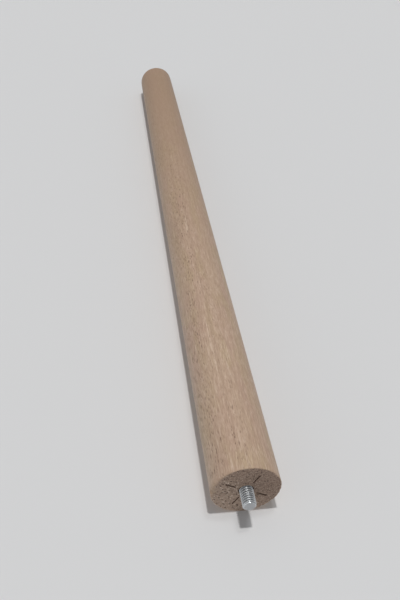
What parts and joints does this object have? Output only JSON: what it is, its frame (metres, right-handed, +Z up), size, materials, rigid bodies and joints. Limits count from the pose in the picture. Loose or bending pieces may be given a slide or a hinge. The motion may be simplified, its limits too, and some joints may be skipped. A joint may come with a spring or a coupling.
{
  "type": "wooden furniture leg",
  "caption": "Round wooden furniture leg with a straight taper, a rounded foot and a threaded steel stud in its head for screwing into furniture.",
  "frame": {"origin": "centre of the foot's flat underside, where the leg stands on the floor", "axes": "+Z up the leg's axis, from the foot to the head and its stud"},
  "size_m": [0.0399, 0.04, 0.461],
  "materials": {
    "bare_wood": "bare, sanded, matte",
    "zinc_steel": "bright zinc plated"
  },
  "bodies": {
    "root": {"leg": "bare_wood", "hanger_bolt": "zinc_steel"}
  },
  "joints": []
}
